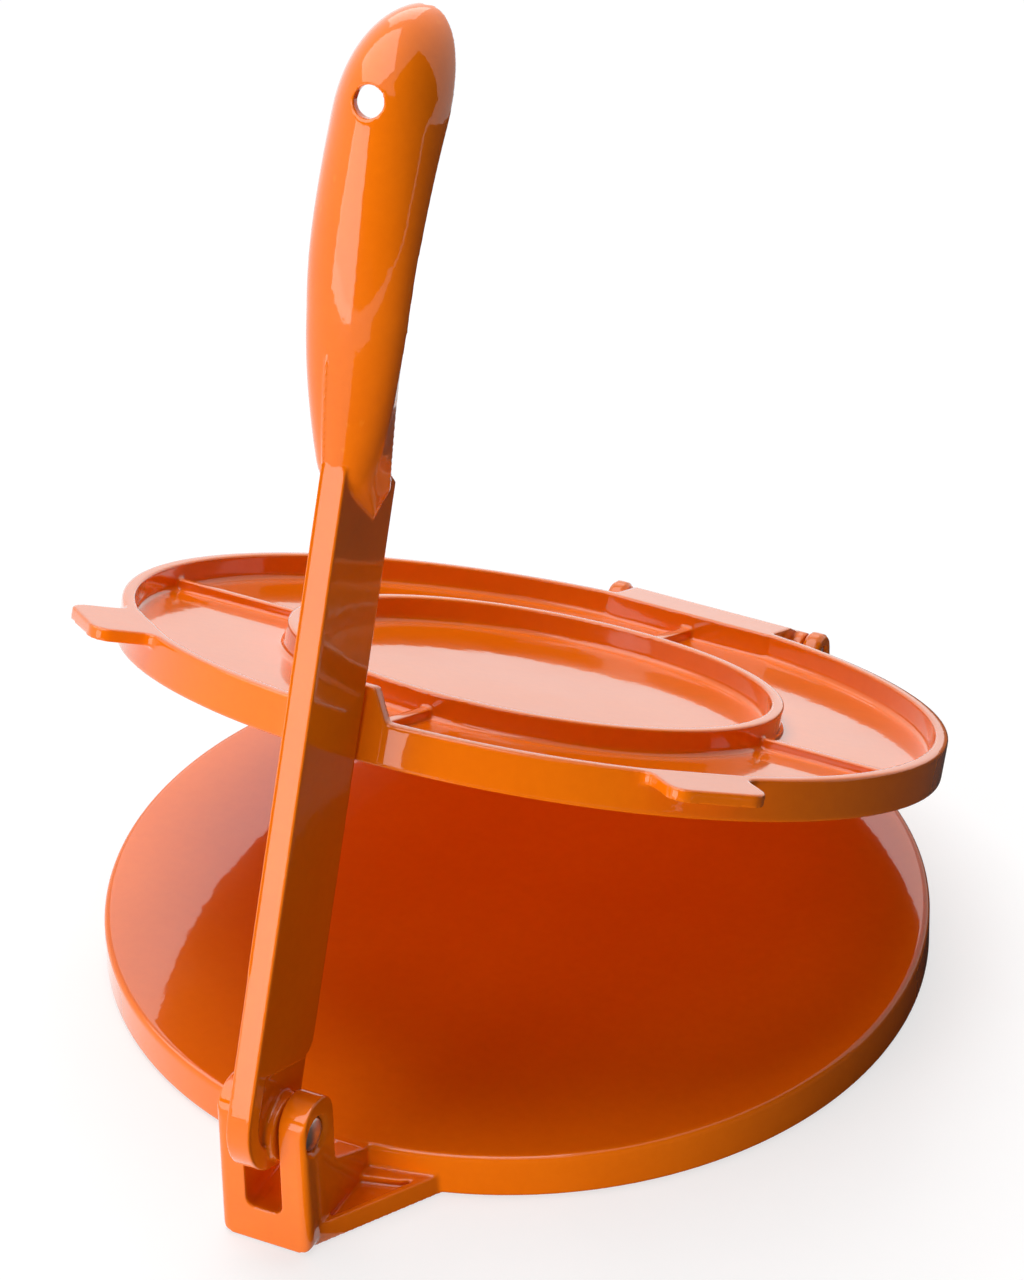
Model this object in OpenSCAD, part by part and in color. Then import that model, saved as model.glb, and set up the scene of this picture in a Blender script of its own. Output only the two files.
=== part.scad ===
// Tortilla press: a cast base disc with a lever clevis in front and two hinge ears behind,
// a ribbed upper plate on a long hinge pin, and a one-piece cast lever with a hollow grip.
// Frame: X to the right, +Y from the clevis to the hinge, Z up, origin on the floor under
// the middle of the base disc. The upper plate and the lever are drawn in their own frames
// and then turned to the pose in which the press stands: half open, lever leaning back.

/* [Base disc] */
// Diameter of the base disc
base_d = 200; // [180:1:220]
// Height of the base disc over the table
base_h = 11.4; // [9:0.1:15]
// Thickness of the pressing face
base_skin = 4.6; // [3:0.1:6]
// Thickness of the downturned rim
base_rim_t = 4; // [3:0.1:6]
// Rounding of the disc's top edge
base_edge_r = 1.4; // [0.5:0.1:2.5]
// Outside diameter of the ring under the disc and of the ring in the upper plate's dish
ring_d = 120; // [90:1:150]
// Thickness of the ring and ribs under the disc
base_rib_t = 3.2; // [2:0.1:5]
// Gap from the table to the ring and ribs under the disc
base_rib_lift = 1.6; // [0.5:0.1:3]
// Diameter of the middle hub that stands on the table
base_hub_d = 26; // [16:1:40]

/* [Upper plate] */
// How far the upper plate's edge stays inside the base disc's edge
plate_inset = 0.2; // [0:0.1:2]
// Height of the upper plate's rim
plate_h = 10.2; // [8.5:0.1:13]
// Depth of the dish inside the rim
dish_depth = 6.3; // [4:0.1:7]
// Thickness of the rim at its lip
plate_rim_t = 3.2; // [2:0.1:5]
// Thickness of the raised ring
plate_ring_t = 3; // [2:0.1:5]
// Height of the four ribs over the dish floor
plate_rib_h = 2.6; // [1:0.1:5]
// Thickness of the four ribs
plate_rib_t = 2.6; // [1.5:0.1:5]
// Gap between the two plates when they are parallel
closed_gap = 3; // [2.5:0.1:5]
// Radius of the fillets inside the dish
dish_fillet = 1.4; // [0.5:0.1:2]

/* [Hump that the lever presses] */
// Height of the hump over the rim
hump_h = 7.3; // [4:0.1:8]
// Width of the hump at its top
hump_top_w = 8; // [6:0.5:12]
// Width of the hump at its foot
hump_foot_w = 16; // [12.5:0.5:24]
// Thickness of the hump's wall
hump_t = 3.4; // [2.5:0.1:5]

/* [Lifting tabs] */
// Angle from the front to each tab
tab_angle = 46.5; // [35:0.5:60]
// Width of a tab
tab_w = 24; // [16:0.5:30]
// Reach of a tab beyond the rim
tab_reach = 13.5; // [8:0.5:16]
// Thickness of a tab
tab_t = 3; // [2:0.1:4.5]
// Corner radius of a tab
tab_corner = 4.5; // [2:0.1:7]

/* [Hinge] */
// Distance from the disc's edge to the hinge axis
hinge_reach = 14.4; // [14:0.1:22]
// Height of the hinge axis
hinge_z = 19.05; // [18.5:0.05:21]
// Diameter of the hinge pin
hinge_pin_d = 4; // [3:0.1:5]
// Radius of each ear round the hinge pin
ear_r = 5; // [4.5:0.1:7]
// Thickness of each ear
ear_t = 4.7; // [4:0.1:9]
// Gap between the two ears
ear_gap = 50.2; // [40:0.2:60]
// Radius of the plate's barrel round the hinge pin
barrel_r = 4.2; // [3.8:0.1:4.8]
// Side gap between the barrel and each ear
barrel_side_gap = 0.4; // [0.3:0.05:1]
// Width of the flange that carries the barrel
flange_w = 44; // [34:1:48]

/* [Lever clevis] */
// Width of the clevis
clevis_w = 23.2; // [20:0.2:28]
// Width of the slot for the lever
slot_w = 9.2; // [8:0.1:11]
// Height of the slot's floor
slot_floor = 9.5; // [7:0.1:11.5]
// Distance from the disc's edge to the clevis's front face
clevis_reach = 28.4; // [27:0.2:34]
// Depth of each ear from front to back
clevis_depth = 14.2; // [13:0.1:18]
// Height of the clevis over the lever pin
clevis_over_pin = 9; // [7.5:0.1:13]
// Distance from the clevis's front face to the lever pin
pin_from_front = 6.1; // [5.5:0.1:7.5]
// Height of the lever pin
lever_pin_z = 31; // [30:0.1:33]
// Diameter of the lever pin
lever_pin_d = 8; // [6:0.1:9]
// Height of the foot web beside the clevis
foot_h = 5.4; // [4:0.1:7]
// Half the spread of the foot webs where they meet the disc
foot_spread = 28; // [22:0.5:36]

/* [Lever] */
// Thickness of the lever's bar
bar_w = 6; // [5:0.1:7]
// Depth of the bar in front of the lever pin
bar_front = 18.2; // [15:0.1:20]
// Depth of the bar behind the lever pin
bar_back = 9.2; // [7:0.1:9.4]
// Radius of the bar's round end
end_r = 14.6; // [13:0.1:16]
// How far the round end reaches below the lever pin
end_drop = 9.6; // [8.5:0.1:12]
// Width of the full-thickness strip round the tongue
tongue_strip = 5; // [3:0.1:7]
// Depth of the recess in each side of the tongue
tongue_recess = 1.1; // [0.5:0.1:1.6]
// Height of the recess above the lever pin
recess_top = 14.5; // [12:0.1:20]
// Distance from the lever pin to the end of the grip
lever_len = 258.5; // [240:0.5:270]
// Distance from the lever pin to the lower end of the grip
grip_start = 142.5; // [130:0.5:150]
// Width of the grip
grip_w = 26; // [22:0.5:32]
// How far the bar runs up inside the grip as a rib
rib_len = 57; // [45:1:60]
// Wall thickness of the grip
grip_wall = 2.4; // [1.8:0.1:3.5]
// Diameter of the hole for hanging the press up
hang_hole_d = 7.2; // [4:0.1:8]
// Depth of the flat landing behind the hanging hole
hang_boss = 1.2; // [0.8:0.1:4]
// Distance from the hanging hole to the end of the grip
hang_hole_inset = 19.5; // [14:0.5:24]

/* [Pose and fits] */
// Angle of the upper plate over the base disc
open_angle = 25.1; // [20:0.1:30]
// Gap between the leaning lever and the upper plate's edge
rest_gap = 1.23; // [0.5:0.01:4]
// Radial clearance of a pin in the part that turns on it
running_fit = 0.06; // [0.02:0.01:0.1]
// Radial clearance of a pin in the ears that hold it
pin_fit = 0.01; // [0.01:0.01:0.03]
// Side gap between the lever's hubs and the clevis
hub_side_gap = 0.4; // [0.3:0.05:1]
// Inset of each pin's ends from the ears' outer faces
pin_inset = 0.4; // [0:0.1:1]

/* [Hidden] */
$fn = 96;
eps = 0.01;
base_r = base_d / 2;
plate_r = base_r - plate_inset;
ring_r = ring_d / 2;
hinge_y = base_r + hinge_reach;
clevis_front = base_r + clevis_reach;
lever_pin_y = clevis_front - pin_from_front;
clevis_h = lever_pin_z + clevis_over_pin;
plate_z0 = base_h + closed_gap;
plate_z1 = plate_z0 + plate_h;
dish_floor_z = plate_z1 - dish_depth;
lip_r = 0.7;
hump_edge = 1.2;
corner_r = 2.2;
clevis_back = clevis_front - clevis_depth;
ear_top_r = clevis_depth / 2;
slot_corner = 2.4;
pin_recess_d = lever_pin_d + 1.6;
pin_recess_depth = 0.9;
hinge_half = ear_gap / 2 + ear_t;
hub_r = 8;
hub_half = slot_w / 2 - hub_side_gap;
end_y = end_r - bar_front;
end_s = end_r - end_drop;
back_corner_r = 5;
flange_back = hinge_y - 5.4;

// The lean at which the bar's back clears an edge of radius r round (y, z) of the closed plate.
function clear_lean(y, z, r) =
    let (
        dy = y - hinge_y,
        dz = z - hinge_z,
        from_pin = [
            hinge_y + dy * cos(open_angle) + dz * sin(open_angle) + lever_pin_y,
            hinge_z - dy * sin(open_angle) + dz * cos(open_angle) - lever_pin_z
        ]
    )
    atan2(from_pin[0], from_pin[1]) - asin((bar_back + rest_gap + r) / norm(from_pin));
lever_lean = min(
    clear_lean(-plate_r + lip_r, plate_z0 + lip_r, lip_r),
    clear_lean(-plate_r + hump_edge, plate_z1 + hump_h - hump_edge, hump_edge)
);

// ---- helpers ---------------------------------------------------------------

// Extrudes an outline given as (y, z) to both sides of the middle plane.
module across(width, x = 0) {
    translate([x - width / 2, 0, 0])
        rotate([90, 0, 90])
            linear_extrude(width)
                children();
}

// A box given by its lowest and highest corners.
module span(low, high) {
    translate(low)
        cube(high - low);
}

// A flat rectangle given by its lowest and highest corners.
module span2(low, high) {
    translate(low)
        square(high - low);
}

// A pin or bore along X through (y, z).
module rod(r, length, y, z, x = 0) {
    translate([x - length / 2, y, z])
        rotate([0, 90, 0])
            cylinder(r = r, h = length);
}

// Four radial walls on the X and Y axes, from one radius to another.
module radial_ribs(r_in, r_out, t, z0, z1) {
    for (turn = [0 : 90 : 270])
        rotate(turn)
            span([r_in, -t / 2, z0], [r_out, t / 2, z1]);
}

// A rectangle with its corners rounded by r, centred on the origin.
module rounded_rect(size, r) {
    square([size[0] - 2 * r, size[1]], center = true);
    square([size[0], size[1] - 2 * r], center = true);
    for (sx = [-1, 1])
        for (sy = [-1, 1])
            translate([sx * (size[0] / 2 - r), sy * (size[1] / 2 - r)])
                circle(r);
}

// The concave corner between a floor and a wall: side = 1 is a wall to the right.
module inner_fillet(x, z, r, side) {
    translate([x, z])
        mirror([side > 0 ? 1 : 0, 0])
            difference() {
                translate([-eps, -eps])
                    square(r + eps);
                translate([r, r])
                    circle(r);
            }
}

// ---- base ------------------------------------------------------------------

module base_profile() {
    span2([0, base_h - base_skin], [base_r - base_edge_r, base_h]);
    span2([base_r - base_rim_t, 0], [base_r, base_h - base_edge_r]);
    translate([base_r - base_edge_r, base_h - base_edge_r])
        circle(base_edge_r);
    span2([ring_r - base_rib_t, base_rib_lift], [ring_r, base_h - base_skin + eps]);
    span2([0, 0], [base_hub_d / 2, base_h - base_skin + eps]);
    span2([base_r - base_rim_t - eps, base_h - base_skin - eps],
          [base_r - base_edge_r, base_h - base_edge_r]);
}

// Side outline of the clevis: upright front, round top, and a web down to the disc.
module clevis_side() {
    mid = -clevis_front + ear_top_r;
    top = clevis_h - ear_top_r;
    span2([-clevis_front, 0], [-clevis_back, top]);
    translate([mid, top])
        circle(ear_top_r);
    polygon([
        [-clevis_back - eps, 0],
        [-clevis_back - eps, slot_floor + 9],
        [-base_r - 1, base_h],
        [-base_r + base_rim_t, base_h - 0.6],
        [-base_r + base_rim_t, 0]
    ]);
}

// Plan outline of the clevis, with its two front corners rounded.
module clevis_plan() {
    depth = clevis_front - base_r + base_rim_t;
    translate([0, -clevis_front + depth / 2])
        square([clevis_w - 2 * corner_r, depth], center = true);
    span2([-clevis_w / 2, -clevis_front + corner_r], [clevis_w / 2, -base_r + base_rim_t]);
    for (s = [-1, 1])
        translate([s * (clevis_w / 2 - corner_r), -clevis_front + corner_r])
            circle(corner_r);
}

// The slot for the lever, with rounded lower corners, open to the front, top and back.
module clevis_slot() {
    rotate([90, 0, 0])
        linear_extrude(clevis_front - base_r) {
            span2([-slot_w / 2, slot_corner], [slot_w / 2, clevis_h]);
            span2([-slot_w / 2 + slot_corner, 0], [slot_w / 2 - slot_corner, clevis_h]);
            for (s = [-1, 1])
                translate([s * (slot_w / 2 - slot_corner), slot_corner])
                    circle(slot_corner);
        }
}

// The hollow under the clevis, open to the table.
module clevis_hollow() {
    wall = 3.6;
    depth = clevis_front - base_r - 2 * wall;
    translate([0, -clevis_front + wall + depth / 2, -eps])
        linear_extrude(slot_floor - 4)
            rounded_rect([clevis_w - 2 * wall, depth], 2);
}

// One triangular foot web, on the right, with a shallow pocket between its two lips.
module foot_web() {
    lip = 2.6;
    pocket = 1.8;
    front = [clevis_w / 2 - corner_r, -clevis_front + corner_r / 2];
    tip = [foot_spread, -sqrt(base_r * base_r - foot_spread * foot_spread)];
    reach = tip - front;
    across_edge = [-reach[1], reach[0]] / norm(reach);
    difference() {
        linear_extrude(foot_h)
            polygon([front, tip, [foot_spread - 4, -base_r + 8], [0, -base_r + 8], [0, front[1]]]);
        translate([0, 0, foot_h - pocket])
            linear_extrude(foot_h)
                polygon([
                    front + across_edge * lip + reach * 0.06,
                    tip + across_edge * lip - reach * 0.12,
                    [foot_spread - 7, -base_r - 1.2],
                    [clevis_w / 2 - 1, -base_r - 4]
                ]);
    }
}

// One hinge ear with its web down to the disc, at the given side.
module hinge_ear(side) {
    across(ear_t, side * (ear_gap / 2 + ear_t / 2)) {
        translate([hinge_y, hinge_z])
            circle(ear_r);
        polygon([
            [base_r - 8, 0],
            [base_r - 8, base_h - 0.6],
            [base_r - 2, base_h - 0.6],
            [hinge_y - ear_r * cos(30), hinge_z + ear_r * sin(30) - 3.2],
            [hinge_y, hinge_z],
            [hinge_y + ear_r, hinge_z],
            [hinge_y + ear_r, 0]
        ]);
    }
}

module base() {
    color("darkorange")
        difference() {
            union() {
                rotate_extrude($fn = 180)
                    base_profile();
                radial_ribs(base_hub_d / 2 - 1, base_r - base_rim_t + 1, base_rib_t,
                            base_rib_lift, base_h - base_skin + eps);
                intersection() {
                    across(clevis_w)
                        clevis_side();
                    linear_extrude(clevis_h)
                        clevis_plan();
                }
                for (s = [0, 1])
                    mirror([s, 0, 0])
                        foot_web();
                for (s = [-1, 1])
                    hinge_ear(s);
            }
            translate([0, -base_r - 2, slot_floor])
                clevis_slot();
            clevis_hollow();
            rod(lever_pin_d / 2 + pin_fit, clevis_w + 2, -lever_pin_y, lever_pin_z);
            for (s = [-1, 1])
                rod(pin_recess_d / 2, 2 * pin_recess_depth, -lever_pin_y, lever_pin_z,
                    s * clevis_w / 2);
            rod(hinge_pin_d / 2 + pin_fit, 2 * hinge_half + 2, hinge_y, hinge_z);
        }
}

// ---- upper plate -----------------------------------------------------------

module plate_profile() {
    span2([0, plate_z0], [plate_r - lip_r, dish_floor_z]);
    span2([plate_r - plate_rim_t, plate_z0], [plate_r - lip_r, plate_z1]);
    span2([plate_r - plate_rim_t, plate_z0 + lip_r], [plate_r, plate_z1 - lip_r]);
    for (z = [plate_z0 + lip_r, plate_z1 - lip_r])
        translate([plate_r - lip_r, z])
            circle(lip_r);
    span2([ring_r - plate_ring_t, dish_floor_z - eps], [ring_r, plate_z1]);
    inner_fillet(ring_r, dish_floor_z, dish_fillet, -1);
    inner_fillet(ring_r - plate_ring_t, dish_floor_z, dish_fillet, 1);
    inner_fillet(plate_r - plate_rim_t, dish_floor_z, dish_fillet, 1);
}

// The hump at the front of the rim: a trapezoid with its outer top edge rounded.
module hump() {
    intersection() {
        translate([0, -plate_r + hump_t, 0])
            rotate([90, 0, 0])
                linear_extrude(hump_t)
                    polygon([
                        [-hump_foot_w / 2, plate_z0 + lip_r],
                        [hump_foot_w / 2, plate_z0 + lip_r],
                        [hump_foot_w / 2, plate_z1],
                        [hump_top_w / 2, plate_z1 + hump_h],
                        [-hump_top_w / 2, plate_z1 + hump_h],
                        [-hump_foot_w / 2, plate_z1]
                    ]);
        across(hump_foot_w) {
            span2([-plate_r, plate_z0], [-plate_r + hump_t, plate_z1 + hump_h - hump_edge]);
            span2([-plate_r + hump_edge, plate_z0], [-plate_r + hump_t, plate_z1 + hump_h]);
            translate([-plate_r + hump_edge, plate_z1 + hump_h - hump_edge])
                circle(hump_edge);
        }
    }
}

// One lifting tab, flush with the rim's lip, with small fillets where it leaves the rim.
module tab(angle) {
    root = 6;
    fillet = 3;
    side = tab_w / 2 + fillet;
    fillet_y = -sqrt(pow(plate_r + fillet, 2) - side * side);
    rotate(angle)
        translate([0, 0, plate_z1 - tab_t])
            linear_extrude(tab_t)
                difference() {
                    union() {
                        translate([0, -plate_r - (tab_reach - root) / 2])
                            rounded_rect([tab_w, tab_reach + root], tab_corner);
                        translate([-side, fillet_y])
                            square([2 * side, root]);
                    }
                    for (s = [-1, 1])
                        translate([s * side, fillet_y])
                            circle(fillet);
                    circle(plate_r - 1.5);
                }
}

// The rear flange and the barrel that turns on the hinge pin.
module hinge_flange() {
    across(flange_w)
        polygon([
            [plate_r - 6, plate_z0 + lip_r],
            [plate_r - 6, plate_z1],
            [flange_back, plate_z1],
            [hinge_y + barrel_r * cos(52), hinge_z + barrel_r * sin(52)],
            [hinge_y, hinge_z],
            [hinge_y, hinge_z - barrel_r]
        ]);
    rod(barrel_r, ear_gap - 2 * barrel_side_gap, hinge_y, hinge_z);
}

// The upper plate, drawn closed.
module upper_plate_closed() {
    difference() {
        union() {
            rotate_extrude($fn = 180)
                plate_profile();
            radial_ribs(ring_r - 1, plate_r - plate_rim_t + 1, plate_rib_t,
                        dish_floor_z - eps, dish_floor_z + plate_rib_h);
            hump();
            for (s = [-1, 1])
                tab(s * tab_angle);
            hinge_flange();
        }
        rod(hinge_pin_d / 2 + running_fit, ear_gap, hinge_y, hinge_z);
    }
}

module upper_plate() {
    color("orangered")
        translate([0, hinge_y, hinge_z])
            rotate([-open_angle, 0, 0])
                translate([0, -hinge_y, -hinge_z])
                    upper_plate_closed();
}

// ---- lever -----------------------------------------------------------------
// Drawn upright round the lever pin: +Z along the bar, -Y its front, +Y its back.

// The grip's shape at a distance s along the lever.
nose_len = 14.5;
skirt_len = 7;
dome_start = 234;
spread_len = 87.6;
grip_front = 28.4;
function unit(u) = min(max(u, 0), 1);
function dome(s, end = lever_len) =
    pow(1 - pow(unit((s - dome_start) / (end - dome_start)), 2.1), 1 / 2.1);
function front_plain(s) =
    let (skirt = unit((s - grip_start) / nose_len), rise = unit((s - grip_start - nose_len) / 74))
    s < grip_start + nose_len
        ? 1.1 - (bar_front + 1.1) * sin(90 * skirt)
        : -bar_front - (grip_front - bar_front) * (1 - pow(1 - rise, 2));
function back_plain(s) =
    -17.6 + 25 * pow(1 - unit((s - grip_start - 2.5) / 63), 2.2)
    + 13.1 * pow(max(s - 200, 0) / (lever_len - 200), 2);
function grip_back(s) =
    let (skirt_end = grip_start + skirt_len)
    s < skirt_end
        ? back_plain(skirt_end) * (1 - pow((skirt_end - s) / skirt_len, 1.3))
        : back_plain(s);
function grip_half(s) =
    (bar_w / 2 + (grip_w - bar_w) / 2 * (1 - pow(1 - unit((s - grip_start) / spread_len), 3))) * dome(s);
function grip_face(s) = grip_back(s) + (front_plain(s) - grip_back(s)) * dome(s);
// How much of the section's depth its rounded front takes.
function round_share(s) = 0.43 + 0.53 * unit((s - grip_start - nose_len) / 33);

// The section at height s: half width a, front f, back b. Its front is half an ellipse.
arc_steps = 12;
function section(a, f, b, s) =
    let (deep = round_share(s) * (b - f))
    concat(
        [[-a, b, s]],
        [for (i = [0 : arc_steps])
            let (t = -90 + 180 * i / arc_steps)
            [a * sin(t), f + deep - deep * cos(t), s]],
        [[a, b, s]]
    );
function reversed(list) = [for (i = [len(list) - 1 : -1 : 0]) list[i]];

// Heights of the outer sections, closer together round the dome.
nose_steps = 5;
body_steps = 8;
dome_steps = 7;
function heights(end) = concat(
    [for (i = [0 : nose_steps - 1])
        grip_start + 0.4 + (nose_len + 2) * pow(i / nose_steps, 1.5)],
    [for (i = [0 : body_steps - 1])
        grip_start + nose_len + 3
        + (dome_start - grip_start - nose_len - 3) * i / body_steps],
    [for (i = [0 : dome_steps])
        dome_start + (end - dome_start) * sin(86 * i / dome_steps)]
);
outer_heights = heights(lever_len);
inner_heights = heights(lever_len - grip_wall);
function inner_section(s) =
    let (
        low = min(s, dome_start),
        lid = dome(s, lever_len - grip_wall),
        b = grip_back(s),
        half = max(grip_half(low) - grip_wall, 0.3 * grip_half(low)),
        face = min(front_plain(low) + grip_wall, (front_plain(low) + b) / 2)
    )
    section(half * lid, b + (face - b) * lid, b, s);
function outer_section(s) = section(grip_half(s), grip_face(s), grip_back(s), s);

module grip_shell() {
    rows = [for (i = [0 : len(outer_heights) - 1])
        concat(outer_section(outer_heights[i]), reversed(inner_section(inner_heights[i])))];
    n = len(rows[0]);
    m = len(rows);
    half = n / 2;
    sides = [for (i = [0 : m - 2])
        for (j = [0 : n - 1])
            let (k = (j + 1) % n, p = i * n, q = (i + 1) * n)
            for (tri = [[p + j, q + j, q + k], [p + j, q + k, p + k]])
                tri];
    caps = [for (j = [0 : half - 2])
        for (tri = [[j, j + 1, n - 2 - j], [j, n - 2 - j, n - 1 - j]])
            tri];
    last = (m - 1) * n;
    lid = [for (tri = caps) [last + tri[0], last + tri[2], last + tri[1]]];
    polyhedron([for (row = rows) for (p = row) p], concat(sides, caps, lid), convexity = 6);
}

// Side outline of the bar, from the lever pin up into the hollow of the grip.
module bar_side() {
    polygon([
        [-bar_front, end_s],
        [-bar_front, grip_start + nose_len],
        for (rise = [24, 40, rib_len])
            [front_plain(grip_start + rise) + grip_wall / 2, grip_start + rise],
        [grip_back(grip_start + 28), grip_start + 28],
        [grip_back(grip_start + 14) + 1.5, grip_start + 14],
        [bar_back, grip_start + 7.5],
        [bar_back, end_s]
    ]);
    intersection() {
        translate([end_y, end_s])
            circle(end_r);
        span2([-bar_front, -end_drop], [bar_back, end_s + eps]);
    }
}

// Outline of the recess in the tongue's sides.
module recess_side() {
    inner = end_r - tongue_strip;
    translate([end_y, end_s])
        circle(inner);
    span2([end_y - inner, end_s], [bar_back + 1, recess_top]);
    span2([end_y, end_s - inner], [bar_back + 1, recess_top]);
    translate([bar_back, recess_top])
        mirror([1, 0])
            difference() {
                translate([-1, -eps])
                    square([back_corner_r + 1, back_corner_r]);
                translate([back_corner_r, back_corner_r])
                    circle(back_corner_r);
            }
}

module lever_upright() {
    side = bar_w / 2 - tongue_recess;
    hole_s = lever_len - hang_hole_inset;
    hole_y = grip_face(hole_s);
    difference() {
        union() {
            difference() {
                across(bar_w)
                    bar_side();
                for (s = [-1, 1])
                    across(tongue_recess + 1, s * (bar_w / 2 + 0.5 - tongue_recess / 2))
                        recess_side();
            }
            rod(hub_r, 2 * hub_half, 0, 0);
            grip_shell();
            translate([0, hole_y + grip_wall - 0.4, hole_s])
                rotate([-90, 0, 0])
                    cylinder(d = hang_hole_d + 5, h = hang_boss);
        }
        rod(lever_pin_d / 2 + running_fit, slot_w + 2, 0, 0);
        translate([0, hole_y - 4, hole_s])
            rotate([-90, 0, 0])
                cylinder(d = hang_hole_d, h = 12);
    }
}

module lever() {
    color("orange")
        translate([0, -lever_pin_y, lever_pin_z])
            rotate([-lever_lean, 0, 0])
                lever_upright();
}

// ---- pins ------------------------------------------------------------------

// A pin along X with a small chamfer on each end.
module pin(d, length, y, z, chamfer) {
    translate([0, y, z])
        rotate([0, 90, 0]) {
            cylinder(d = d, h = length - 2 * chamfer, center = true);
            for (s = [0, 1])
                mirror([0, 0, s])
                    translate([0, 0, length / 2 - chamfer])
                        cylinder(d1 = d, d2 = d - 2 * chamfer, h = chamfer);
        }
}

module hinge_pin() {
    color("silver")
        pin(hinge_pin_d, 2 * (hinge_half - pin_inset), hinge_y, hinge_z, 0.4);
}

module lever_pin() {
    color("silver")
        pin(lever_pin_d, clevis_w - 2 * pin_inset, -lever_pin_y, lever_pin_z, 0.6);
}

base();
upper_plate();
lever();
hinge_pin();
lever_pin();
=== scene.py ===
"""Looks of the tortilla press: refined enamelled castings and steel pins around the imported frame.

Sizes are in millimetres, in the frame of the CAD part, until mesh_object() turns them into metres.
"""

import math

import bmesh
import bpy
from mathutils import Matrix, Vector


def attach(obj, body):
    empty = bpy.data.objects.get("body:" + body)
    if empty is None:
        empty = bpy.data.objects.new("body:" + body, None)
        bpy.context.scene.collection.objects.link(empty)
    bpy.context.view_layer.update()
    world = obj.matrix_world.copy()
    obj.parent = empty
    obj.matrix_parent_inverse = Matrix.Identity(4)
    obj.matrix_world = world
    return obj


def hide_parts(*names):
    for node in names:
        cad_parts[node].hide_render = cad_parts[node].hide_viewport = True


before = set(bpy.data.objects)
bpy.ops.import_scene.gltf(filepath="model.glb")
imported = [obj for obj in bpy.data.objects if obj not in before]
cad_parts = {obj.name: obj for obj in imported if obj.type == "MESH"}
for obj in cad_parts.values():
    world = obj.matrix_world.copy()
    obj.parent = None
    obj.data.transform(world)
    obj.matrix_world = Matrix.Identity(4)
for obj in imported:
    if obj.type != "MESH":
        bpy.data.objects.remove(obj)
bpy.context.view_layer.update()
MM = 0.001

# Sizes shared with the CAD part
BASE_R, BASE_H, BASE_SKIN, BASE_RIM_T, BASE_EDGE = 100.0, 11.4, 4.6, 4.0, 1.4
PLATE_R, PLATE_Z0, PLATE_Z1, DISH_Z = 99.8, 14.4, 24.6, 18.3
RING_R, RING_T, RIM_T = 60.0, 3.0, 3.2
HINGE_Y, HINGE_Z, HINGE_HALF, EAR_T = 114.4, 19.05, 29.8, 4.7
PIN_Y, PIN_Z = -122.3, 31.0
CLEVIS_HALF, SLOT_HALF, SLOT_FLOOR = 11.6, 4.6, 9.5
CLEVIS_FRONT, CLEVIS_BACK, CLEVIS_TOP = -128.4, -114.2, 40.0
BAR_HALF, BAR_FRONT, BAR_BACK = 3.0, 18.2, 9.2
END_R, END_Y, END_S = 14.6, -3.6, 5.0
RECESS_DEEP, HOLE_S, HOLE_R = 1.1, 239.0, 3.6
PIN_R, HINGE_PIN_R, EAR_R, BARREL_R = 4.0, 2.0, 5.0, 4.2
HUMP_H, HUMP_T, HUMP_TOP, HUMP_FOOT = 7.3, 3.4, 4.0, 8.0
TAB_HALF, TAB_REACH, TAB_T, TAB_ANGLE = 12.0, 13.5, 3.0, 46.5
GRIP_START, NOSE, DOME, LEVER_LEN, GRIP_HALF, WALL = 142.5, 14.5, 234.0, 258.3, 13.0, 2.4
OPEN_ANGLE, LEVER_LEAN = math.radians(25.1), math.radians(21.603)


# ---- shapes ------------------------------------------------------------------

def arc(cx, cy, r, start, end, steps=8):
    """Points on a circle from one angle to another, in degrees."""
    angles = [math.radians(start + (end - start) * i / steps) for i in range(steps + 1)]
    return [(cx + r * math.cos(a), cy + r * math.sin(a)) for a in angles]


def lathe(profile, steps=360):
    """A solid turned round Z from a closed outline of (radius, height) points."""
    verts, faces, rings = [], [], []
    for r, z in profile:
        count = 1 if r < 1e-6 else steps
        rings.append((len(verts), count))
        for i in range(count):
            a = 2 * math.pi * i / steps
            verts.append((r * math.cos(a), r * math.sin(a), z))
    for (a0, an), (b0, bn) in zip(rings, rings[1:] + rings[:1]):
        if an == 1 and bn == 1:
            continue
        for i in range(steps):
            j = (i + 1) % steps
            quad = [a0 + i % an, b0 + i % bn, b0 + j % bn, a0 + j % an]
            face = [v for k, v in enumerate(quad) if v not in quad[:k]]
            faces.append(face)
    return verts, faces


def prism(outline, low, high, axis="x"):
    """A flat outline pushed along an axis: (y, z) for x, (x, z) for y and (x, y) for z."""
    place = {
        "x": lambda p, t: (t, p[0], p[1]),
        "y": lambda p, t: (p[0], t, p[1]),
        "z": lambda p, t: (p[0], p[1], t),
    }[axis]
    n = len(outline)
    verts = [place(p, low) for p in outline] + [place(p, high) for p in outline]
    sides = [[i, (i + 1) % n, n + (i + 1) % n, n + i] for i in range(n)]
    return verts, [list(range(n))[::-1], list(range(n, 2 * n))] + sides


def rod(r, low, high, y, z, steps=96):
    """A cylinder along X."""
    return prism([(y + p[0], z + p[1]) for p in arc(0, 0, r, 0, 360 - 360 / steps, steps - 1)], low, high)


def box(low, high):
    """A block between two corners."""
    (x0, y0, z0), (x1, y1, z1) = low, high
    return prism([(x0, y0), (x1, y0), (x1, y1), (x0, y1)], z0, z1, "z")


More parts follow.
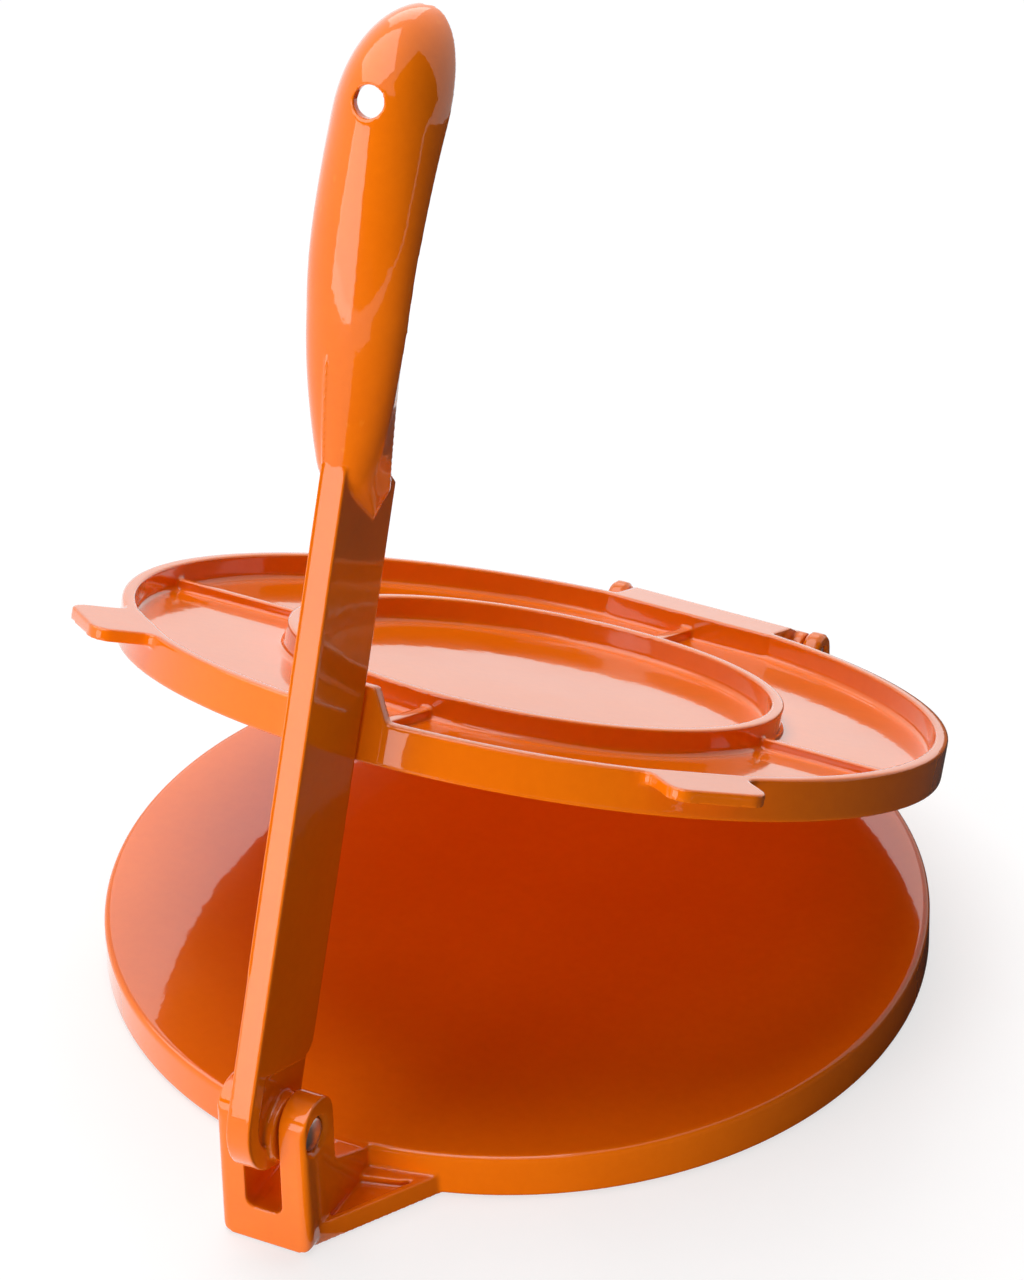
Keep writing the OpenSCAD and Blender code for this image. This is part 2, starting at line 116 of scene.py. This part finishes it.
def mesh_object(name, shapes, matrix=Matrix.Identity(4)):
    """One object holding the given closed shapes, which may overlap."""
    bm = bmesh.new()
    for verts, faces in shapes:
        made = [bm.verts.new(v) for v in verts]
        for face in faces:
            bm.faces.new([made[i] for i in face])
    bmesh.ops.triangulate(bm, faces=[f for f in bm.faces if len(f.verts) > 4])
    bmesh.ops.transform(bm, matrix=Matrix.Scale(MM, 4) @ matrix, verts=bm.verts)
    bmesh.ops.recalc_face_normals(bm, faces=bm.faces)
    mesh = bpy.data.meshes.new(name)
    bm.to_mesh(mesh)
    bm.free()
    thing = bpy.data.objects.new(name, mesh)
    bpy.context.scene.collection.objects.link(thing)
    return thing


def settle(thing):
    """Replaces an object's mesh by what its modifiers make of it."""
    graph = bpy.context.evaluated_depsgraph_get()
    made = bpy.data.meshes.new_from_object(thing.evaluated_get(graph))
    thing.modifiers.clear()
    thing.data = made
    return thing


def combine(operation, thing, *tools, overlapping=False):
    """Adds or takes away the tools' volume one by one; the object's own shapes may overlap."""
    for tool in tools:
        step = thing.modifiers.new("combine", "BOOLEAN")
        step.operation = operation
        step.solver = "EXACT" if overlapping else "MANIFOLD"
        step.use_self = overlapping
        step.object = tool
        settle(thing)
        bpy.data.objects.remove(tool)
    return thing


def cast(thing, size, passes, keep):
    """Melts overlapping shapes into one skin with softened edges, as enamel over a casting."""
    melt = thing.modifiers.new("melt", "REMESH")
    melt.mode = "VOXEL"
    melt.voxel_size = size * MM
    soften = thing.modifiers.new("soften", "SMOOTH")
    soften.factor = 0.5
    soften.iterations = passes
    settle(thing)
    thin = thing.modifiers.new("thin", "DECIMATE")
    thin.ratio = keep
    settle(thing)
    for face in thing.data.polygons:
        face.use_smooth = True
    weigh = thing.modifiers.new("weigh", "WEIGHTED_NORMAL")
    weigh.mode = "FACE_AREA_WITH_ANGLE"
    weigh.weight = 60
    return thing


# Grain of the melted skins, in millimetres, and how often they are smoothed
FINE = 0.4
PASSES = 5


# ---- base --------------------------------------------------------------------

def rib(r0, r1, t, z0, z1):
    """Four radial walls on the X and Y axes."""
    return [box((r0, -t / 2, z0), (r1, t / 2, z1)), box((-r1, -t / 2, z0), (-r0, t / 2, z1)),
            box((-t / 2, r0, z0), (t / 2, r1, z1)), box((-t / 2, -r1, z0), (t / 2, -r0, z1))]


def base_shapes():
    """The disc with its downturned rim, hub, ring and ribs, the two foot webs and the hinge ears."""
    under = BASE_H - BASE_SKIN
    disc = ([(0, 0), (13, 0), (13, under - 1.5)] + arc(14.5, under - 1.5, 1.5, 180, 90, 4)
            + [(56.8, under), (56.8, 1.6), (60, 1.6), (60, under)]
            + arc(BASE_R - BASE_RIM_T - 1.5, under - 1.5, 1.5, 90, 0, 4)
            + [(BASE_R - BASE_RIM_T, 0), (BASE_R - 0.6, 0), (BASE_R, 0.6)]
            + arc(BASE_R - BASE_EDGE, BASE_H - BASE_EDGE, BASE_EDGE, 0, 90, 8) + [(0, BASE_H)])
    shapes = [lathe(disc)] + rib(12, BASE_R - BASE_RIM_T + 1, 3.2, 1.6, under + 1)
    for side in (-1, 1):
        shapes += foot_web(side)
        for inset, r in ((0, EAR_R - 0.6), (0.9, EAR_R)):
            shapes.append(prism(hinge_ear(r), *sorted((side * (HINGE_HALF - EAR_T + inset),
                                                       side * (HINGE_HALF - inset)))))
    return shapes


def clevis():
    """The block that holds the lever: upright front, round top, web down to the disc, and the slot."""
    mid, r = (CLEVIS_FRONT + CLEVIS_BACK) / 2, (CLEVIS_BACK - CLEVIS_FRONT) / 2
    side = ([(CLEVIS_FRONT, 0), (CLEVIS_FRONT, CLEVIS_TOP - r)] + arc(mid, CLEVIS_TOP - r, r, 180, 0, 32)
            + [(CLEVIS_BACK, SLOT_FLOOR + 9), (-BASE_R - 1, BASE_H), (-BASE_R + 4, BASE_H - 0.6),
               (-BASE_R + 4, 0)])
    plan = ([(-CLEVIS_HALF, -BASE_R + 6)] + arc(-CLEVIS_HALF + 2.2, CLEVIS_FRONT + 2.2, 2.2, 180, 270, 8)
            + arc(CLEVIS_HALF - 2.2, CLEVIS_FRONT + 2.2, 2.2, 270, 360, 8) + [(CLEVIS_HALF, -BASE_R + 6)])
    foot = (arc(-CLEVIS_HALF + 2.6, 2.6, 2.6, 180, 270, 8) + arc(CLEVIS_HALF - 2.6, 2.6, 2.6, 270, 360, 8)
            + [(CLEVIS_HALF - 0.3, 45), (-CLEVIS_HALF + 0.3, 45)])
    half = SLOT_HALF - 2.4
    slot = (arc(-half, SLOT_FLOOR + 2.4, 2.4, 180, 270, 8) + arc(half, SLOT_FLOOR + 2.4, 2.4, 270, 360, 8)
            + [(SLOT_HALF, 45), (-SLOT_HALF, 45)])
    block = mesh_object("clevis", [prism(side, -15, 15)])
    combine("INTERSECT", block, mesh_object("tool_plan", [prism(plan, -1, 45, "z")]),
            mesh_object("tool_foot", [prism(foot, -135, -90, "y")]))
    return combine("DIFFERENCE", block, mesh_object("tool_slot", [prism(slot, -135, -BASE_R - 2, "y")]))


def foot_web(side):
    """The triangular web beside the clevis: a floor, a lip along its outer edge and one along the disc."""
    spread, lip_t = 28.0, 1.9
    front = (CLEVIS_HALF - 2.6, CLEVIS_FRONT + 0.6)
    tip = (spread, -math.sqrt(BASE_R ** 2 - spread ** 2))
    reach = (tip[0] - front[0], tip[1] - front[1])
    length = math.hypot(*reach)
    inward = (-reach[1] / length * lip_t, reach[0] / length * lip_t)
    floor = [front, tip, (spread - 4, -BASE_R + 8), (4, -BASE_R + 8), (4, front[1])]
    lip = [front, tip, (tip[0] + inward[0], tip[1] + inward[1]), (front[0] + inward[0], front[1] + inward[1])]
    rim = [(spread - 7, -BASE_R - 1.2), (spread - 2, -BASE_R + 2), (spread - 4, -BASE_R + 8),
           (4, -BASE_R + 8), (4, -BASE_R - 4), (CLEVIS_HALF - 1, -BASE_R - 4)]
    flip = [[(side * x, y) for x, y in outline] for outline in (floor, lip, rim)]
    return [prism(flip[0], 0, 3.6, "z"), prism(flip[1], 0, 5.4, "z"), prism(flip[2], 0, 5.4, "z")]


def hinge_ear(r):
    """Side outline of a rear ear, whose head has radius r."""
    lean = math.radians(30)
    return ([(BASE_R - 8, 0), (BASE_R - 8, BASE_H - 0.6), (BASE_R - 2, BASE_H - 0.6),
             (HINGE_Y - r * math.cos(lean), HINGE_Z + r * math.sin(lean) - 3.2)]
            + arc(HINGE_Y, HINGE_Z, r, 165, 0, 20) + [(HINGE_Y + r, 0)])


base = mesh_object("base_casting", base_shapes())
combine("UNION", base, clevis(), overlapping=True)
combine("DIFFERENCE", base,
        mesh_object("tool_a", [rod(4.8, CLEVIS_HALF - 0.9, CLEVIS_HALF + 2, PIN_Y, PIN_Z)]),
        mesh_object("tool_b", [rod(4.8, -CLEVIS_HALF - 2, -CLEVIS_HALF + 0.9, PIN_Y, PIN_Z)]),
        mesh_object("tool_c", [rod(4.05, -CLEVIS_HALF - 2, CLEVIS_HALF + 2, PIN_Y, PIN_Z)]),
        mesh_object("tool_d", [rod(2.05, -HINGE_HALF - 2, HINGE_HALF + 2, HINGE_Y, HINGE_Z)]),
        overlapping=True)
cast(base, FINE, PASSES, 0.25)


# ---- upper plate -------------------------------------------------------------

def plate_shapes():
    """The closed plate: dish, rim, ring and ribs, hump, lifting tabs and the flange with its barrel."""
    disc = ([(0, PLATE_Z0)] + arc(PLATE_R - 0.7, PLATE_Z0 + 0.7, 0.7, -90, 0, 5)
            + arc(PLATE_R - 0.7, PLATE_Z1 - 0.7, 0.7, 0, 90, 5)
            + [(PLATE_R - RIM_T, PLATE_Z1)]
            + arc(PLATE_R - RIM_T - 1.4, DISH_Z + 1.4, 1.4, 0, -90, 5)
            + arc(RING_R + 1.4, DISH_Z + 1.4, 1.4, -90, -180, 5)
            + [(RING_R, PLATE_Z1), (RING_R - RING_T, PLATE_Z1)]
            + arc(RING_R - RING_T - 1.4, DISH_Z + 1.4, 1.4, 0, -90, 5) + [(0, DISH_Z)])
    shapes = [lathe(disc)] + rib(RING_R - 1, PLATE_R - RIM_T + 1, 2.6, DISH_Z - 1, DISH_Z + 2.6)
    top, foot = PLATE_Z1 + HUMP_H, PLATE_Z0 + 0.7
    hump = [(-HUMP_FOOT, foot), (HUMP_FOOT, foot), (HUMP_FOOT, PLATE_Z1), (HUMP_TOP, top), (-HUMP_TOP, top),
            (-HUMP_FOOT, PLATE_Z1)]
    shapes.append(prism(hump, -PLATE_R, -PLATE_R + HUMP_T, "y"))
    for angle in (-TAB_ANGLE, TAB_ANGLE):
        shapes.append(tab(math.radians(angle)))
    a = math.radians(52)
    web = [(PLATE_R - 6, PLATE_Z0 + 0.7), (PLATE_R - 6, PLATE_Z1), (HINGE_Y - 5.4, PLATE_Z1),
           (HINGE_Y + BARREL_R * math.cos(a), HINGE_Z + BARREL_R * math.sin(a)), (HINGE_Y, HINGE_Z),
           (HINGE_Y, HINGE_Z - BARREL_R)]
    return shapes + [prism(web, -22, 22), rod(BARREL_R, -24.7, 24.7, HINGE_Y, HINGE_Z)]


def tab(angle):
    """A lifting tab with rounded corners and small fillets at its root."""
    half, out = TAB_HALF, PLATE_R + TAB_REACH
    root = -math.sqrt((PLATE_R + 3) ** 2 - (half + 3) ** 2)
    side = [(half + 3, -PLATE_R + 4.0)] + arc(half + 3, root, 3, 90, 180, 8)
    side += arc(half - 4.5, -out + 4.5, 4.5, 0, -90, 8)
    outline = side + [(-x, y) for x, y in reversed(side)]
    turned = [(x * math.cos(angle) - y * math.sin(angle), x * math.sin(angle) + y * math.cos(angle))
              for x, y in outline]
    return prism(turned, PLATE_Z1 - TAB_T, PLATE_Z1, "z")


to_pose = (Matrix.Translation((0, HINGE_Y, HINGE_Z)) @ Matrix.Rotation(-OPEN_ANGLE, 4, "X")
           @ Matrix.Translation((0, -HINGE_Y, -HINGE_Z)))
plate = mesh_object("plate_casting", plate_shapes())
combine("DIFFERENCE", plate, mesh_object("tool_e", [rod(2.1, -30, 30, HINGE_Y, HINGE_Z)]), overlapping=True)
cast(plate, FINE, PASSES, 0.25)
plate.data.transform(Matrix.Scale(MM, 4) @ to_pose @ Matrix.Scale(1 / MM, 4))


# ---- lever -------------------------------------------------------------------

# The grip's surfaces, as functions of the height s above the lever pin

def clamp(u):
    return min(max(u, 0.0), 1.0)


def dome(s, end=LEVER_LEN):
    """Share of the full section that is left near the grip's round top."""
    return (1 - clamp((s - DOME) / (end - DOME)) ** 2.1) ** (1 / 2.1)


def front_plain(s):
    if s < GRIP_START + NOSE:
        return 1.1 - (BAR_FRONT + 1.1) * math.sin(math.pi / 2 * clamp((s - GRIP_START) / NOSE))
    return -BAR_FRONT - (28.4 - BAR_FRONT) * (1 - (1 - clamp((s - GRIP_START - NOSE) / 74)) ** 2)


def back_plain(s):
    return (-17.6 + 25 * (1 - clamp((s - GRIP_START - 2.5) / 63)) ** 2.2
            + 13.1 * (max(s - 200, 0) / (LEVER_LEN - 200)) ** 2)


def grip_back(s):
    skirt_end = GRIP_START + 7
    return back_plain(max(s, skirt_end)) * (1 - clamp((skirt_end - s) / 7) ** 1.3)


def grip_half(s):
    return (BAR_HALF + (GRIP_HALF - BAR_HALF) * (1 - (1 - clamp((s - GRIP_START) / 87.6)) ** 3)) * dome(s)


def grip_face(s):
    back = grip_back(s)
    return back + (front_plain(s) - back) * dome(s)


def section(half, face, back, s, lip=0.0, steps=36):
    """Half an ellipse in front, straight flanks behind it; lip eases the outer edge at the back."""
    deep = (0.43 + 0.53 * clamp((s - GRIP_START - NOSE) / 33)) * (back - face)
    turns = [math.pi * (i / steps - 0.5) for i in range(steps + 1)]
    front = [(half * math.sin(t), face + deep - deep * math.cos(t), s) for t in turns]
    edge = half - min(lip, 0.2 * half)
    return [(-edge, back, s)] + front + [(edge, back, s)]


def inner_section(s):
    """The hollow's outline at a height, one wall inside the grip's."""
    low, lid = min(s, DOME), dome(s, LEVER_LEN - WALL)
    back, front = grip_back(s), front_plain(low)
    half = max(grip_half(low) - WALL, 0.3 * grip_half(low))
    face = min(front + WALL, (front + back) / 2)
    return section(half * lid, back + (face - back) * lid, back, s)


def heights(end):
    """Heights of the grip's rows of points, closer together at both ends."""
    low = [GRIP_START + 0.4 + (NOSE + 2) * (i / 16) ** 1.5 for i in range(16)]
    middle = [GRIP_START + NOSE + 3 + (DOME - GRIP_START - NOSE - 3) * i / 40 for i in range(40)]
    return low + middle + [DOME + (end - DOME) * math.sin(math.radians(88 * i / 24)) for i in range(25)]


def grip_shell():
    """The spoon-shaped grip, hollow at the back, as one closed skin."""
    rows = []
    for outer, inner in zip(heights(LEVER_LEN), heights(LEVER_LEN - WALL)):
        rows.append(section(grip_half(outer), grip_face(outer), grip_back(outer), outer, 0.7)
                    + inner_section(inner)[::-1])
    n, m = len(rows[0]), len(rows)
    faces = [[i * n + j, (i + 1) * n + j, (i + 1) * n + (j + 1) % n, i * n + (j + 1) % n]
             for i in range(m - 1) for j in range(n)]
    for first in (0, (m - 1) * n):
        faces += [[first + j, first + j + 1, first + n - 2 - j, first + n - 1 - j] for j in range(n // 2 - 1)]
    return [p for row in rows for p in row], faces


def bar_outline():
    """Side outline of the bar, from its round end up into the hollow of the grip."""
    corner = -math.sqrt(END_R ** 2 - (BAR_BACK - END_Y) ** 2)
    end = arc(END_Y, END_S, END_R, math.degrees(math.atan2(corner, BAR_BACK - END_Y)), -180, 40)
    top = [(-BAR_FRONT, GRIP_START + NOSE), (-BAR_FRONT + 1.5, GRIP_START + NOSE + 2)]
    top += [(front_plain(GRIP_START + d) + 1.8, GRIP_START + d) for d in (24, 32, 40, 48, 57)]
    top += [(grip_back(GRIP_START + d) + lift, GRIP_START + d) for d, lift in ((28, 0), (21, 0.6), (14, 1.5))]
    return end + top + [(BAR_BACK, GRIP_START + 7.5)]


def recess_outline():
    """Outline of the shallow recess in each side of the tongue, running out at the bar's back."""
    inner, top, out = END_R - 5, 14.5, BAR_BACK + 2
    return (arc(BAR_BACK - 5, top + 5, 5, 0, -90, 8) + [(END_Y - inner, top)]
            + arc(END_Y, END_S, inner, 180, 270, 20) + [(out, END_S - inner), (out, top + 5)])


def disc(x, s, r, low, high):
    """A cylinder along the lever's front-to-back axis."""
    return prism(arc(x, s, r, 0, 356, 89), low, high, "y")


hole_d = grip_face(HOLE_S)
lever = mesh_object("lever_casting", [prism(bar_outline(), -BAR_HALF, BAR_HALF)])
recess = recess_outline()
combine("DIFFERENCE", lever, mesh_object("tool_f", [prism(recess, BAR_HALF - RECESS_DEEP, BAR_HALF + 1)]),
        mesh_object("tool_g", [prism(recess, -BAR_HALF - 1, -BAR_HALF + RECESS_DEEP)]))
combine("UNION", lever, mesh_object("hub", [rod(8, -4.2, 4.2, 0, 0)]), mesh_object("grip", [grip_shell()]),
        mesh_object("landing", [disc(0, HOLE_S, 6.1, hole_d + 2.0, hole_d + 3.2)]))
combine("DIFFERENCE", lever, mesh_object("tool_h", [rod(4.1, -8, 8, 0, 0)]),
        mesh_object("tool_i", [disc(0, HOLE_S, HOLE_R, hole_d - 5, hole_d + 9)]))
cast(lever, FINE, PASSES, 0.4)
lean = Matrix.Translation((0, PIN_Y, PIN_Z)) @ Matrix.Rotation(-LEVER_LEAN, 4, "X")
lever.data.transform(Matrix.Scale(MM, 4) @ lean @ Matrix.Scale(1 / MM, 4))


# ---- pins --------------------------------------------------------------------

def pin(name, r, half, y, z):
    """A cut rod with slightly domed ends, along X."""
    swell = math.radians(20)
    dome_r = (r - 0.3) / math.sin(swell)
    centre = half - 0.05 - dome_r
    end = ([(r, centre + dome_r * math.cos(swell) - 0.4)]
           + [(dome_r * math.sin(swell * i / 8), centre + dome_r * math.cos(swell * i / 8))
              for i in range(8, -1, -1)])
    profile = [(a, -b) for a, b in reversed(end)] + end
    lay = Matrix.Translation((0, y, z)) @ Matrix.Rotation(math.pi / 2, 4, "Y")
    thing = mesh_object(name, [lathe(profile, 96)], lay)
    for face in thing.data.polygons:
        face.use_smooth = True
    thing.data.set_sharp_from_angle(angle=math.radians(40))
    return thing


hinge_rod = pin("hinge_rod", HINGE_PIN_R, HINGE_HALF - 0.4, HINGE_Y, HINGE_Z)
lever_rod = pin("lever_rod", PIN_R, CLEVIS_HALF - 0.4, PIN_Y, PIN_Z)


# ---- materials ---------------------------------------------------------------

class Nodes:
    """Short calls for building a material's nodes."""

    def __init__(self, name):
        self.material = bpy.data.materials.new(name)
        self.material.use_nodes = True
        self.tree = self.material.node_tree
        self.shader = self.tree.nodes["Principled BSDF"]

    def add(self, kind, inputs=None, **settings):
        node = self.tree.nodes.new(kind)
        for key, value in settings.items():
            setattr(node, key, value)
        for key, value in (inputs or {}).items():
            self.put(node.inputs[key], value)
        return node

    def put(self, socket, value):
        if isinstance(value, bpy.types.NodeSocket):
            self.tree.links.new(value, socket)
        else:
            socket.default_value = value

    def noise(self, where, scale, detail=2.0, rough=0.5):
        return self.add("ShaderNodeTexNoise", {"Vector": where, "Scale": scale, "Detail": detail,
                                               "Roughness": rough}).outputs["Fac"]

    def spread(self, value, low, high, to_low=0.0, to_high=1.0):
        return self.add("ShaderNodeMapRange", {"Value": value, "From Min": low, "From Max": high,
                                               "To Min": to_low, "To Max": to_high}).outputs["Result"]

    def mix(self, fac, a, b):
        node = self.add("ShaderNodeMix", {"Factor": fac}, data_type="RGBA")
        self.put(node.inputs[6], a)
        self.put(node.inputs[7], b)
        return node.outputs[2]

    def bump(self, height, strength, distance, normal=None):
        node = self.add("ShaderNodeBump", {"Height": height, "Strength": strength, "Distance": distance})
        if normal is not None:
            self.put(node.inputs["Normal"], normal)
        return node.outputs["Normal"]


def enamel(name, shift):
    """High-gloss orange enamel: slightly uneven depth of colour, edges lighter where the enamel is thin and
    as a painted highlight, hollows darkened as painted shade, faint orange peel.
    """
    n = Nodes(name)
    where = n.add("ShaderNodeMapping", {"Vector": n.add("ShaderNodeTexCoord").outputs["Object"],
                                        "Location": (shift, 0.3 * shift, 0)}).outputs["Vector"]
    flow = n.spread(n.noise(where, 22, 3), 0.3, 0.7)
    fine = n.spread(n.noise(where, 420, 4, 0.6), 0.35, 0.65)
    colour = n.mix(flow, (0.80, 0.148, 0.0016, 1), (0.86, 0.172, 0.0024, 1))
    colour = n.mix(n.spread(fine, 0, 1, 0, 0.08), colour, (0.62, 0.085, 0.001, 1))
    point = n.add("ShaderNodeNewGeometry").outputs["Pointiness"]
    # Convex edges turn lighter and yellower: partly thin enamel over the edge, partly a painted highlight
    colour = n.mix(n.spread(point, 0.53, 0.62, 0, 0.2), colour, (0.90, 0.26, 0.02, 1))
    # Hollows and inside corners turn darker and redder: painted shade
    colour = n.mix(n.spread(point, 0.47, 0.40, 0, 0.55), colour, (0.42, 0.045, 0.001, 1))
    n.put(n.shader.inputs["Base Color"], colour)
    n.put(n.shader.inputs["Roughness"], n.spread(n.noise(where, 60, 3), 0.3, 0.7, 0.12, 0.20))
    n.shader.inputs["IOR"].default_value = 1.15
    n.shader.inputs["Coat Weight"].default_value = 1.0
    n.shader.inputs["Coat IOR"].default_value = 1.45
    n.shader.inputs["Coat Roughness"].default_value = 0.03
    peel = n.bump(n.noise(where, 330, 2), 0.04, 0.0004)
    wave = n.bump(n.noise(where, 55, 2), 0.05, 0.0015, peel)
    n.put(n.shader.inputs["Normal"], wave)
    n.put(n.shader.inputs["Coat Normal"], wave)
    return n.material


def steel(name):
    """Bare drawn rod: fine scratches round the axis, a little stain."""
    n = Nodes(name)
    where = n.add("ShaderNodeTexCoord").outputs["Object"]
    drawn = n.add("ShaderNodeMapping", {"Vector": where, "Scale": (1, 8, 8)}).outputs["Vector"]
    lines = n.noise(drawn, 700, 3)
    stain = n.spread(n.noise(where, 260, 3), 0.4, 0.75)
    n.put(n.shader.inputs["Base Color"], n.mix(stain, (0.88, 0.87, 0.85, 1), (0.66, 0.64, 0.60, 1)))
    n.put(n.shader.inputs["Roughness"], n.spread(lines, 0.3, 0.7, 0.28, 0.42))
    n.put(n.shader.inputs["Normal"], n.bump(lines, 0.12, 0.0001))
    n.shader.inputs["Metallic"].default_value = 1.0
    return n.material


for thing, node, body, slot, paint in (
        (base, "base", "base", "enamel_base", enamel("enamel_base", 0.0)),
        (plate, "upper_plate", "upper_plate", "enamel_plate", enamel("enamel_plate", 1.7)),
        (lever, "lever", "lever", "enamel_lever", enamel("enamel_lever", 3.1)),
        (hinge_rod, "hinge_pin", "base", "pin_steel", steel("steel_hinge_pin")),
        (lever_rod, "lever_pin", "base", "pin_steel", steel("steel_lever_pin"))):
    thing.data.materials.clear()
    thing.data.materials.append(paint)
    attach(thing, body)
    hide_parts(node)


# ---- stage, light and camera -------------------------------------------------

def sheet(name, points, material):
    """A flat piece of the studio, which isn't part of the object."""
    mesh = bpy.data.meshes.new(name)
    mesh.from_pydata(points, [], [tuple(range(len(points)))])
    thing = bpy.data.objects.new(name, mesh)
    thing.data.materials.append(material)
    bpy.context.scene.collection.objects.link(thing)
    return thing


def shown(tree):
    """One for the rays that show the background: the camera's, reflected and transmitted ones."""
    rays = tree.nodes.new("ShaderNodeLightPath")
    fac = rays.outputs["Is Camera Ray"]
    for other in ("Is Glossy Ray", "Is Transmission Ray"):
        both = tree.nodes.new("ShaderNodeMath")
        both.operation = "MAXIMUM"
        tree.links.new(fac, both.inputs[0])
        tree.links.new(rays.outputs[other], both.inputs[1])
        fac = both.outputs[0]
    return fac


paper = Nodes("white_floor")
ground = paper.add("ShaderNodeTexCoord").outputs["Object"]
grain = paper.noise(ground, 90, 3)
seen = paper.mix(grain, (0.68, 0.68, 0.68, 1), (0.72, 0.72, 0.72, 1))
paper.put(paper.shader.inputs["Base Color"], paper.mix(shown(paper.tree), (0.42, 0.42, 0.42, 1), seen))
paper.shader.inputs["Roughness"].default_value = 0.9
paper.shader.inputs["Specular IOR Level"].default_value = 0.1
# Near the press the paper shows the shadow; farther out it fades to plain white
near, clear = 0.16, 0.4
far = paper.add("ShaderNodeVectorMath", {0: ground}, operation="LENGTH").outputs["Value"]
glow = paper.add("ShaderNodeEmission", {"Strength": paper.spread(far, near, clear, 1.36, 1.02)})
veil = paper.add("ShaderNodeMath", {0: shown(paper.tree), 1: paper.spread(far, near, clear, 0.5, 1.0)},
                 operation="MULTIPLY")
blend = paper.add("ShaderNodeMixShader", {0: veil.outputs[0]})
paper.tree.links.new(paper.shader.outputs[0], blend.inputs[1])
paper.tree.links.new(glow.outputs[0], blend.inputs[2])
paper.tree.links.new(blend.outputs[0], paper.tree.nodes["Material Output"].inputs["Surface"])
sheet("floor", [(-6, -6, -0.0003), (6, -6, -0.0003), (6, 6, -0.0003), (-6, 6, -0.0003)], paper.material)

# Dark cards behind and beside the camera and on the floor, which only show as dark zones in the gloss
dark = Nodes("dark_card")
dark.shader.inputs["Base Color"].default_value = (0.02, 0.02, 0.02, 1)
dark.shader.inputs["Roughness"].default_value = 1.0
for name, corners in (
        ("card_front", [(-1.9, -2.3, 0), (1.7, -1.9, 0), (1.7, -1.9, 1.7), (-1.9, -2.3, 1.7)]),
        ("card_right", [(1.7, -1.9, 0), (2.2, 1.2, 0), (2.2, 1.2, 2.6), (1.7, -1.9, 2.6)]),
        ("card_low", [(0.015, -1.2, 0.0002), (1.6, -1.2, 0.0002), (1.6, 0.4, 0.0002), (0.015, 0.4, 0.0002)])):
    card = sheet(name, corners, dark.material)
    card.visible_camera = card.visible_diffuse = card.visible_shadow = False

world = bpy.context.scene.world or bpy.data.worlds.new("studio")
bpy.context.scene.world = world
world.use_nodes = True
sky = world.node_tree
background = sky.nodes["Background"]
level = sky.nodes.new("ShaderNodeMapRange")
level.inputs["To Min"].default_value = 0.08
level.inputs["To Max"].default_value = 1.0
sky.links.new(shown(sky), level.inputs["Value"])
sky.links.new(level.outputs["Result"], background.inputs["Strength"])
background.inputs["Color"].default_value = (1, 1, 1, 1)


def softbox(name, place, size, radiance, aim=(0, 0, 0.08), mirrored=True, lighting=True):
    """A flat lamp; it can be left out of the gloss, or show in the gloss alone."""
    lamp = bpy.data.lights.new(name, "AREA")
    lamp.shape = "RECTANGLE"
    lamp.size, lamp.size_y = size
    lamp.energy = radiance * math.pi * size[0] * size[1]
    thing = bpy.data.objects.new(name, lamp)
    thing.location = place
    thing.rotation_euler = (Vector(aim) - Vector(place)).to_track_quat("-Z", "Y").to_euler()
    thing.visible_glossy = mirrored
    thing.visible_diffuse = lighting
    bpy.context.scene.collection.objects.link(thing)


softbox("window_front_left", (-0.55, -1.23, 0.28), (0.8, 0.5), 4.0, (0, -0.1, 0.12))
softbox("fill_front", (-0.15, -1.52, 0.13), (1.2, 0.24), 19.0, mirrored=False)
softbox("box_back_left", (-0.56, 0.98, 0.78), (0.7, 0.7), 1.5)
softbox("box_top", (-0.25, 0.20, 1.25), (1.0, 1.0), 5.0, mirrored=False)
softbox("panel_top", (-0.45, -0.30, 1.20), (1.7, 1.5), 3.0, lighting=False)

camera_data = bpy.data.cameras.new("camera")
camera_data.sensor_fit = "VERTICAL"
camera_data.sensor_height = 36.0
FOCAL_PX, PICTURE_H = 6160.95, 1280
camera_data.lens = FOCAL_PX / PICTURE_H * 36.0
camera_data.clip_start = 0.01
camera = bpy.data.objects.new("camera", camera_data)
right = Vector((0.893604, 0.448446, -0.019185))
up = Vector((-0.241874, 0.517099, 0.821039))
back = Vector((0.378112, -0.729044, 0.570549))
turn = Matrix((right, up, back)).transposed().to_4x4()
camera.matrix_world = Matrix.Translation((0.548765, -1.057372, 0.914268)) @ turn
bpy.context.scene.collection.objects.link(camera)
bpy.context.scene.camera = camera
bpy.context.scene.view_settings.view_transform = "Standard"
